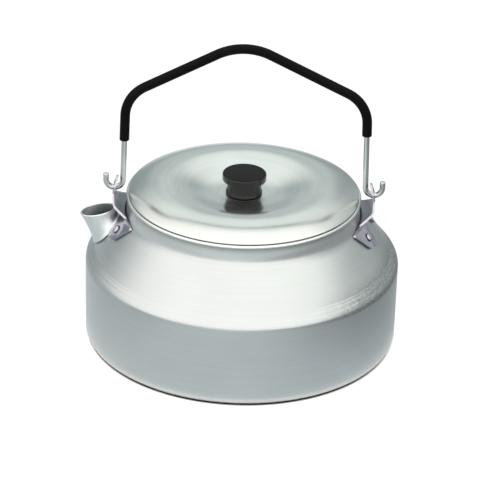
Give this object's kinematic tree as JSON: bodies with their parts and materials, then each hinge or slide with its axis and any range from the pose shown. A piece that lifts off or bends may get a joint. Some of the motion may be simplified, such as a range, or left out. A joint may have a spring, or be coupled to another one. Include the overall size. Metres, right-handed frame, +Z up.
{
  "type": "camping kettle",
  "caption": "Squat aluminium camping kettle with a sunk lid, black knob, short spout and a folding wire bail with a rubber grip.",
  "frame": {"origin": "centre of the flat base, on the surface the kettle stands on", "axes": "+Z up along the axis of the body and the lid, +X along the bail from the spout's lug to the plain lug, so the spout points along -X; the bail stands in the XZ plane"},
  "size_m": [0.1782, 0.175, 0.1749],
  "materials": {
    "body": "spun, fine satin",
    "spout": "drawn, soft polish",
    "lid": "spun, polished satin",
    "lug": "bright plated",
    "rivet": "bright plated",
    "wire": "drawn, bright",
    "fixing": "plated",
    "grip": "semi-gloss tube",
    "knob": "moulded phenolic, glossy"
  },
  "bodies": {
    "kettle": {"kettle_body": "body", "spout": "spout", "lug_left": "lug", "lug_right": "lug", "rivet_left_front": "rivet", "rivet_left_rear": "rivet", "rivet_right_front": "rivet", "rivet_right_rear": "rivet"},
    "bail": {"bail_wire": "wire", "bail_grip": "grip"},
    "lid": {"lid": "lid", "knob": "knob", "knob_screw": "fixing", "knob_washer": "fixing"}
  },
  "joints": [
    {"name": "bail_swing", "type": "hinge", "parent": "kettle", "child": "bail", "pos_m": [0, 0, 0.087], "axis": [1, 0, 0], "range_deg": [-105, 105]},
    {"name": "lid_lift", "type": "slide", "parent": "kettle", "child": "lid", "axis": [0, 0, 1], "range_m": [0, 0.025]}
  ]
}
